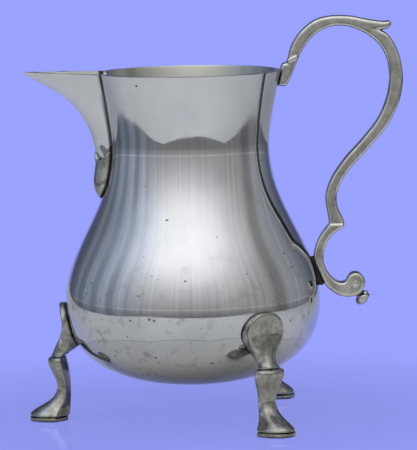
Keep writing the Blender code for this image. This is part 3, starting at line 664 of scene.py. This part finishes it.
# the rolled end of the scroll: a ball drawn out a little wider than the bar
bpy.ops.mesh.primitive_uv_sphere_add(segments=64, ring_count=40, radius=BULB_RADIUS * MM)
bulb = bpy.context.object
bpy.ops.object.mode_set(mode="EDIT")
bpy.ops.transform.resize(value=(1, BULB_WIDTH / 2 / BULB_RADIUS, 1), center_override=(0, 0, 0))
bpy.ops.transform.translate(value=(JUG_AXIS + BULB_SPOT[0] * MM, 0, BULB_SPOT[1] * MM))
bpy.ops.object.mode_set(mode="OBJECT")

# the bud under the bulb, leaning in towards its tip
bud = None
for height, radius in BUD_RINGS:
    middle = BUD_TOP_REACH - BUD_LEAN * (BUD_RINGS[0][0] - height)
    turns = [math.tau * i / BUD_POINTS for i in range(BUD_POINTS)]
    bud = hoop(bud, [(middle + radius * math.cos(a), radius * math.sin(a), height) for a in turns])
cap_ends(bud, BUD_POINTS)
finish_with(bud, "SUBSURF", levels=1, render_levels=1)

# the web between the scroll and the belly
bpy.ops.mesh.primitive_cube_add(size=1)
web = bpy.context.object
bpy.ops.object.mode_set(mode="EDIT")
web_size = (WEB_DEPTH * MM, WEB_WIDTH * MM, (WEB_TOP[1] - WEB_FOOT[1]) * MM)
bpy.ops.transform.resize(value=web_size, center_override=(0, 0, 0))
bpy.ops.transform.translate(
    value=(JUG_AXIS + WEB_FOOT[0] * MM, 0, (WEB_TOP[1] + WEB_FOOT[1]) / 2 * MM)
)
pick(web, lambda p: p[2] < WEB_FOOT[1] + 1)
taper_spot = (JUG_AXIS + (WEB_FOOT[0] + WEB_TAPER_REACH) * MM, 0, 0)
bpy.ops.transform.resize(value=WEB_TAPER, center_override=taper_spot)
pick(web, lambda p: p[2] > WEB_TOP[1] - 1)
bpy.ops.transform.translate(value=((WEB_TOP[0] - WEB_FOOT[0]) * MM, 0, 0))
bpy.ops.mesh.select_all(action="SELECT")
bpy.ops.mesh.bevel(offset=WEB_ROUNDING * MM, segments=3)
bpy.ops.object.mode_set(mode="OBJECT")

# a small collar across the bar above the lug
bpy.ops.mesh.primitive_cube_add(size=1)
collar = bpy.context.object
bpy.ops.object.mode_set(mode="EDIT")
bpy.ops.transform.resize(value=[side * MM for side in COLLAR_SIZE], center_override=(0, 0, 0))
bpy.ops.mesh.bevel(offset=COLLAR_ROUNDING * MM, segments=3)
bpy.ops.mesh.select_all(action="SELECT")
bpy.ops.transform.rotate(value=COLLAR_LEAN, orient_axis="Y", center_override=(0, 0, 0))
bpy.ops.transform.translate(value=(JUG_AXIS + COLLAR_SPOT[0] * MM, 0, COLLAR_SPOT[1] * MM))
bpy.ops.object.mode_set(mode="OBJECT")

bpy.ops.object.select_all(action="DESELECT")
for part in (scroll, bulb, bud, collar, grip):
    part.select_set(True)
bpy.context.view_layer.objects.active = grip
bpy.ops.object.join()
handle = bpy.context.object
# cast in one, so the parts run into each other
finish_with(handle, "REMESH", mode="VOXEL", voxel_size=BLEND_CELL * MM)
finish_with(handle, "SMOOTH", factor=0.5, iterations=3)
bpy.ops.object.shade_smooth()
# the flat sides are buffed bright, the rims are painted darker as shade, and the web is black with old
# solder and painted shade
cast_bright = cast_pewter(
    "pewter_cast_and_buffed", "#bbbbb4", "#d2d2cb", (0.12, 0.22), 0.2, grime_and_shade=0.6, rim_shade=0.8
)
# the web is painted nearly black: old solder and painted shade
cast_black = cast_pewter("pewter_blackened_at_the_solder_and_shaded", "#2b2a27", "#56544e", (0.3, 0.45), 0.4, wear_and_highlight=0.0)
handle.data.materials.clear()
handle.data.materials.append(cast_bright)
web.data.materials.append(cast_black)
web.select_set(True)
bpy.ops.object.join()
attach(handle, "root")
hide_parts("handle")
bpy.ops.object.select_all(action="DESELECT")

# Legs
# Three castings from one mould. Each has a spoon-shaped shield soldered on the bowl, a ledge at the
# knee, a round calf with a sharp arris and a flatter back, and a slipper foot on a grooved sole.
LEG_SECTION = [  # share of the depth from the front, share of the half width
    (0.0, 0.0), (0.02, 0.25), (0.08, 0.5), (0.2, 0.75), (0.36, 0.91), (0.54, 0.985), (0.66, 1.0),
    (0.7, 0.97), (0.8, 0.76), (0.91, 0.52), (0.99, 0.38), (1.0, 0.2),
]
SHIELD_SECTION = [
    (0.0, 0.0), (0.0, 0.22), (0.01, 0.44), (0.03, 0.64), (0.07, 0.78), (0.13, 0.84), (0.22, 0.86),
    (0.38, 0.85), (0.55, 0.88), (0.75, 0.98), (0.93, 1.05), (1.0, 0.55),
]
LEG_RINGS = [  # height, front, back, half width, share of the shield's section
    (0.0, 50.9, 39.6, 5.7, 0), (0.06, 51.15, 39.35, 5.95, 0), (0.2, 51.2, 39.3, 6.0, 0),
    (1.05, 51.2, 39.3, 6.0, 0), (1.2, 51.05, 39.45, 5.85, 0), (1.26, 50.6, 39.8, 5.5, 0),
    (1.42, 50.45, 39.9, 5.4, 0), (1.56, 50.6, 39.7, 5.5, 0), (1.64, 51.05, 39.0, 5.7, 0),
    (1.9, 51.15, 38.8, 5.75, 0), (2.5, 50.9, 38.7, 5.4, 0), (3.3, 49.9, 38.6, 4.8, 0),
    (4.2, 48.4, 38.5, 4.2, 0), (5.4, 46.1, 38.4, 3.6, 0), (6.6, 44.3, 38.3, 3.2, 0),
    (8.2, 42.95, 38.2, 2.95, 0), (10.6, 42.3, 38.2, 2.8, 0), (13.3, 43.2, 38.3, 3.4, 0),
    (15.8, 44.55, 38.6, 4.5, 0), (17.4, 45.2, 38.9, 4.95, 0), (18.5, 45.3, 39.15, 5.05, 0),
    (19.1, 45.15, 39.3, 4.95, 0), (19.5, 44.85, 39.4, 4.75, 0), (19.8, 44.35, 39.55, 4.3, 0),
    (19.95, 43.95, 39.7, 3.7, 0), (20.05, 43.85, 39.75, 3.5, 0), (20.2, 44.05, 39.6, 3.65, 0),
    (20.5, 44.1, 39.3, 3.6, 0), (20.7, 43.85, 39.0, 3.3, 0), (20.9, 43.7, 38.6, 3.1, 0),
    (21.6, 43.4, 37.9, 3.0, 0), (22.8, 42.9, 35.6, 3.3, 0.2), (24.4, 42.1, 35.0, 4.4, 0.45),
    (26.2, 41.45, 36.2, 5.8, 0.75), (28.2, 40.8, 37.05, 7.0, 1), (30.2, 40.55, 37.65, 7.6, 1),
    (32.2, 40.8, 38.05, 7.45, 1), (34.0, 41.1, 38.3, 6.5, 1), (35.3, 41.25, 38.4, 5.1, 1),
    (36.1, 41.3, 38.42, 3.6, 1), (36.4, 41.25, 38.45, 2.6, 1), (36.55, 41.0, 38.5, 1.9, 1),
]
LEG_TURNS = {"leg_spout": 180.0, "leg_near": -57.0, "leg_far": 54.5}
leg = None
for height, front, back, half, plate in LEG_RINGS:
    side = [
        (depth + (shield_depth - depth) * plate, width + (shield_width - width) * plate)
        for (depth, width), (shield_depth, shield_width) in zip(LEG_SECTION, SHIELD_SECTION)
    ]
    round_leg = side + [(1.0, 0.0)] + [(depth, -width) for depth, width in side[:0:-1]]
    leg = hoop(leg, [(front - (front - back) * depth, half * width, height) for depth, width in round_leg])
cap_ends(leg, 2 * len(LEG_SECTION))
finish_with(leg, "SUBSURF", levels=2, render_levels=2)
bpy.ops.object.shade_smooth_by_angle(angle=math.radians(50))
mark_solder(leg, 0.7)
# the legs are darker than the handle and mottled, with a wide painted shade in their corners
cast_dull = cast_pewter("pewter_cast_dark_and_mottled", "#888882", "#b2b2ab", (0.12, 0.2), 0.5, grime_and_shade=0.92)
leg.data.materials.append(cast_dull)
# the other two are copied from the first, and then each is turned to its place round the bowl
legs = [leg]
for _ in range(len(LEG_TURNS) - 1):
    bpy.ops.object.duplicate()
    legs.append(bpy.context.object)
for piece, (name, turn) in zip(legs, LEG_TURNS.items()):
    piece.name = piece.data.name = "cast_" + name
    piece.data.transform(
        Matrix.Translation((JUG_AXIS, 0, 0))
        @ Matrix.Rotation(math.radians(turn), 4, "Z")
        @ Matrix.Translation((-JUG_AXIS, 0, 0))
    )
    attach(piece, "root")
    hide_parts(name)
bpy.ops.object.select_all(action="DESELECT")

# Floor
# The jug stands on a plain pale sheet, whose front edges show in the polished body. To the camera the
# sheet is an even periwinkle blue, with a faint shine under the feet, and so it is to the metal behind.
GROUND = "#9aa3ff"
SHEET_CORNERS = [  # x, y in mm from the jug's axis, anticlockwise from the front left
    (-191, -253), (7, -257), (258, -214), (265, -145), (279, -62), (304, 25), (320, 80), (330, 130),
    (1330, 6000), (-1485, 6000), (-364, 285), (-332, 164), (-320, 89), (-308, 32), (-291, -21),
    (-254, -102), (-222, -200),
]
floor = draw_line("floor", [3 * ((x, y, 0.0),) for x, y in SHEET_CORNERS], 1)
bpy.ops.object.mode_set(mode="EDIT")
bpy.ops.mesh.select_all(action="SELECT")
bpy.ops.mesh.edge_face_add()
bpy.ops.object.mode_set(mode="OBJECT")
paper = bpy.data.materials.new("pale_floor_sheet")
paper.use_nodes = True
t = paper.node_tree
t.nodes.clear()
rays = add(t, "LightPath")
spot = add(t, "TexCoord").outputs["Object"]
across = add(t, "SeparateXYZ", {0: spot})
from_axis = add(t, "VectorMath", {0: spot, 1: (JUG_AXIS, 0, 0)}, operation="DISTANCE").outputs["Value"]
# painted light and shade, seen in the metal: lighter away from the jug, darker at the sides and behind, and
# a painted shadow round the jug with a dark line at its edge
wander = add(t, "TexNoise", {"Vector": spot, "Scale": 1 / (40 * MM), "Detail": 2.0})
shadow_edge_way = add(t, "Math", {0: wander.outputs[0], 1: 24 * MM, 2: from_axis}, operation="MULTIPLY_ADD")
shadow_edge_off = add(t, "Math", {0: shadow_edge_way.outputs[0], 1: 84 * MM}, operation="SUBTRACT")
shadow_edge_far = add(t, "Math", {0: shadow_edge_off.outputs[0]}, operation="ABSOLUTE")
tone = add(t, "MapRange", {0: from_axis, 1: 60 * MM, 2: 250 * MM, 3: 0.95, 4: 1.06})
shares = [
    add(t, "MapRange", {0: across.outputs["X"], 1: -270 * MM, 2: -60 * MM, 3: 0.86, 4: 1.0}),
    add(t, "MapRange", {0: across.outputs["X"], 1: 60 * MM, 2: 270 * MM, 3: 1.0, 4: 0.72}),
    add(t, "MapRange", {0: across.outputs["Y"], 1: 20 * MM, 2: 200 * MM, 3: 1.0, 4: 0.7}),
    # the painted shadow round the jug, and a darker line along its edge
    add(t, "MapRange", {0: shadow_edge_off.outputs[0], 1: -6 * MM, 2: 2 * MM, 3: 0.9, 4: 1.0}),
    add(t, "MapRange", {0: shadow_edge_far.outputs[0], 1: 0.8 * MM, 2: 2.2 * MM, 3: 0.76, 4: 1.0}),
]
for share in shares:
    tone = add(t, "Math", {0: tone.outputs[0], 1: share.outputs[0]}, operation="MULTIPLY")
toned = add(
    t, "Mix", {0: 1.0, 6: colour("#e8e7e4"), 7: tone.outputs[0]}, data_type="RGBA", blend_type="MULTIPLY"
)
matt = add(t, "BsdfDiffuse", {"Color": toned.outputs[2]})
ground = add(t, "Emission", {"Color": colour(GROUND), "Strength": 1.0})
# the metal shows the blue ground in a fan behind the jug, and less of it to the sides
behind = add(t, "MapRange", {0: across.outputs["Y"], 1: -15 * MM, 2: 90 * MM})
off_middle = add(t, "Math", {0: across.outputs["X"]}, operation="ABSOLUTE")
fan = add(t, "Math", {0: across.outputs["Y"], 1: -0.2, 2: off_middle.outputs[0]}, operation="MULTIPLY_ADD")
middle = add(t, "MapRange", {0: fan.outputs[0], 1: 40 * MM, 2: 150 * MM, 3: 1.0, 4: 0.06})
mirrored = add(t, "Math", {0: behind.outputs[0], 1: middle.outputs[0]}, operation="MULTIPLY")
mirror_share = add(
    t, "Math", {0: mirrored.outputs[0], 1: rays.outputs["Is Glossy Ray"]}, operation="MULTIPLY"
)
pale = add(t, "MixShader", {0: mirror_share.outputs[0], 1: matt.outputs[0], 2: ground.outputs[0]})
shaded = add(t, "BsdfDiffuse", {"Color": colour(GROUND)})
polish = add(t, "BsdfGlossy", {"Color": colour("#e4e6ff"), "Roughness": 0.08})
near = add(t, "MapRange", {0: from_axis, 1: 60 * MM, 2: 150 * MM, 3: 1.0, 4: 0.0})
shade_share = add(t, "Math", {0: near.outputs[0], 1: 0.12}, operation="MULTIPLY")
shine_share = add(t, "Math", {0: near.outputs[0], 1: 0.2}, operation="MULTIPLY")
part_shade = add(t, "MixShader", {0: shade_share.outputs[0], 1: ground.outputs[0], 2: shaded.outputs[0]})
part_shine = add(
    t, "MixShader", {0: shine_share.outputs[0], 1: part_shade.outputs[0], 2: polish.outputs[0]}
)
seen = add(t, "MixShader", {0: rays.outputs["Is Camera Ray"], 1: pale.outputs[0], 2: part_shine.outputs[0]})
add(t, "OutputMaterial", {"Surface": seen.outputs[0]})
floor.data.materials.append(paper)

# Light
# The jug stands in a soft white tent, lit from above and in front. Folds of its cloth hang down the
# walls, a seam runs round it at the table's height, and the blue ground shows only straight behind.
world = bpy.data.worlds.new("soft_tent")
bpy.context.scene.world = world
world.use_nodes = True
t = world.node_tree
t.nodes.clear()
rays = add(t, "LightPath")
way = add(t, "TexCoord").outputs["Generated"]
parts = add(t, "SeparateXYZ", {0: way})
up, back_way = parts.outputs["Z"], parts.outputs["Y"]
front_way = add(t, "Math", {0: back_way, 1: -1.0}, operation="MULTIPLY")
# the turn about the jug: 0 in front, positive to the right
turn = add(t, "Math", {0: parts.outputs["X"], 1: front_way.outputs[0]}, operation="ARCTAN2").outputs[0]
# the roof glows most 60 degrees up in front, a little to the left, and fades down the walls
GLOW_RISE, GLOW_TURN = math.radians(60), math.radians(-8)
GLOW_STOPS = [  # nearness to the glow's middle, light
    (0.0, 0.235), (0.26, 0.25), (0.5, 0.33), (0.643, 0.44), (0.766, 0.58), (0.883, 0.84), (0.97, 1.0),
]
glow_way = (
    math.cos(GLOW_RISE) * math.sin(GLOW_TURN),
    -math.cos(GLOW_RISE) * math.cos(GLOW_TURN),
    math.sin(GLOW_RISE),
)
toward = add(t, "VectorMath", {0: way, 1: glow_way}, operation="DOT_PRODUCT")
glow = add(t, "ValToRGB", {0: toward.outputs["Value"]})
for i, (spot, light) in enumerate(GLOW_STOPS):
    stop = glow.color_ramp.elements[i] if i < 2 else glow.color_ramp.elements.new(spot)
    stop.position, stop.color = spot, (light, light, light, 1.0)
# soft folds all round, with deep pleats on the left, fading out towards the roof
PLEATS_APART, PLEATS_TURNED = 21, 91  # in degrees
folds = add(
    t, "TexNoise", {"W": turn, "Scale": 14.0, "Detail": 3.0, "Roughness": 0.6}, noise_dimensions="1D"
)
fold_shade = add(t, "MapRange", {0: folds.outputs[0], 1: 0.3, 2: 0.7, 3: -0.13, 4: 0.13})
pleat_turn = add(
    t,
    "Math",
    {0: turn, 1: 360 / PLEATS_APART, 2: math.radians(PLEATS_TURNED * 360 / PLEATS_APART)},
    operation="MULTIPLY_ADD",
)
pleats = add(t, "Math", {0: pleat_turn.outputs[0]}, operation="COSINE")
pleat_depth = add(t, "MapRange", {0: turn, 1: math.radians(-68), 2: math.radians(-58), 3: 0.24, 4: 0.0})
creased = add(
    t,
    "Math",
    {0: pleats.outputs[0], 1: pleat_depth.outputs[0], 2: fold_shade.outputs[0]},
    operation="MULTIPLY_ADD",
)
fold_fade = add(t, "MapRange", {0: up, 1: 0.3, 2: 0.8, 3: 1.0, 4: 0.0})
folded = add(t, "Math", {0: creased.outputs[0], 1: fold_fade.outputs[0], 2: 1.0}, operation="MULTIPLY_ADD")
# the seam is a thin bright line, lower at the sides, and the wall below it is a little darker
seam_drop = add(t, "Math", {0: back_way, 1: 0.02, 2: 0.03}, operation="MULTIPLY_ADD")
seam_off = add(t, "Math", {0: up, 1: seam_drop.outputs[0]}, operation="ADD")
seam_far = add(t, "Math", {0: seam_off.outputs[0]}, operation="ABSOLUTE")
seam = add(t, "MapRange", {0: seam_far.outputs[0], 1: 0.004, 2: 0.009, 3: 1.45, 4: 1.0})
below = add(t, "MapRange", {0: up, 1: -0.12, 2: -0.01, 3: 0.64, 4: 1.0})
# the wall is a little lighter away from the front, and darker again towards the back on either side
off_front = add(t, "Math", {0: turn}, operation="ABSOLUTE")
front = add(
    t, "MapRange", {0: off_front.outputs[0], 1: math.radians(15), 2: math.radians(60), 3: 0.97, 4: 1.1}
)
left = add(t, "MapRange", {0: turn, 1: math.radians(-138), 2: math.radians(-98), 3: 0.52, 4: 1.0})
right = add(t, "MapRange", {0: turn, 1: math.radians(112), 2: math.radians(128), 3: 1.0, 4: 0.62})
# one dark fold on the right
dip_off = add(t, "Math", {0: turn, 1: math.radians(86)}, operation="SUBTRACT")
dip_far = add(t, "Math", {0: dip_off.outputs[0]}, operation="ABSOLUTE")
dip = add(t, "MapRange", {0: dip_far.outputs[0], 1: math.radians(3), 2: math.radians(12), 3: 0.62, 4: 1.0})
shade = folded
for share in (seam, below, front, left, right, dip):
    shade = add(t, "Math", {0: shade.outputs[0], 1: share.outputs[0]}, operation="MULTIPLY")
# the cloth is white in front and bluish at the sides
cool_left = add(t, "MapRange", {0: turn, 1: math.radians(-95), 2: math.radians(-35), 3: 1.0, 4: 0.0})
cool_right = add(t, "MapRange", {0: turn, 1: math.radians(90), 2: math.radians(130), 3: 0.0, 4: 0.7})
cool = add(t, "Math", {0: cool_left.outputs[0], 1: cool_right.outputs[0]}, operation="MAXIMUM")
cloth = add(t, "Mix", {0: cool.outputs[0], 6: (1, 1, 1, 1), 7: (0.84, 0.96, 1.2, 1)}, data_type="RGBA")
tinted = add(
    t, "Mix", {0: 1.0, 6: glow.outputs[0], 7: cloth.outputs[2]}, data_type="RGBA", blend_type="MULTIPLY"
)
lit = add(
    t, "Mix", {0: 1.0, 6: tinted.outputs[2], 7: shade.outputs[0]}, data_type="RGBA", blend_type="MULTIPLY"
)
# behind, the tent is open under its roof: a dull blue grey, with the ground below
far = add(t, "MapRange", {0: back_way, 1: 0.6, 2: 0.88}, interpolation_type="SMOOTHSTEP")
back = add(t, "Mix", {0: far.outputs[0], 6: lit.outputs[2], 7: colour("#4a4d62")}, data_type="RGBA")
overhead = add(t, "MapRange", {0: up, 1: 0.4, 2: 0.9}, interpolation_type="SMOOTHSTEP")
roof = add(t, "Mix", {0: overhead.outputs[0], 6: back.outputs[2], 7: lit.outputs[2]}, data_type="RGBA")
ground_far = add(t, "MapRange", {0: back_way, 1: 0.86, 2: 0.97}, interpolation_type="SMOOTHSTEP")
ground_low = add(t, "MapRange", {0: up, 1: -0.02, 2: 0.1, 3: 1.0, 4: 0.0}, interpolation_type="SMOOTHSTEP")
ground_share = add(t, "Math", {0: ground_far.outputs[0], 1: ground_low.outputs[0]}, operation="MULTIPLY")
around = add(
    t, "Mix", {0: ground_share.outputs[0], 6: roof.outputs[2], 7: colour("#8790e2")}, data_type="RGBA"
)
tent = add(t, "Background", {"Color": around.outputs[2], "Strength": 1.45})
backdrop = add(t, "Background", {"Color": colour(GROUND), "Strength": 1.0})
shown = add(t, "MixShader", {0: rays.outputs["Is Camera Ray"], 1: tent.outputs[0], 2: backdrop.outputs[0]})
add(t, "OutputWorld", {"Surface": shown.outputs[0]})

# a wide soft lamp overhead lights the sheet, and doesn't show in the metal
LAMP_FORWARD, LAMP_HEIGHT, LAMP_SIZE, LAMP_WATTS = 150 * MM, 900 * MM, 800 * MM, 2.0
bpy.ops.object.light_add(type="AREA", location=(JUG_AXIS, -LAMP_FORWARD, LAMP_HEIGHT))
lamp = bpy.context.object
lamp.name = lamp.data.name = "overhead_lamp"
lamp.data.size = LAMP_SIZE
lamp.data.energy = LAMP_WATTS
lamp.visible_glossy = False
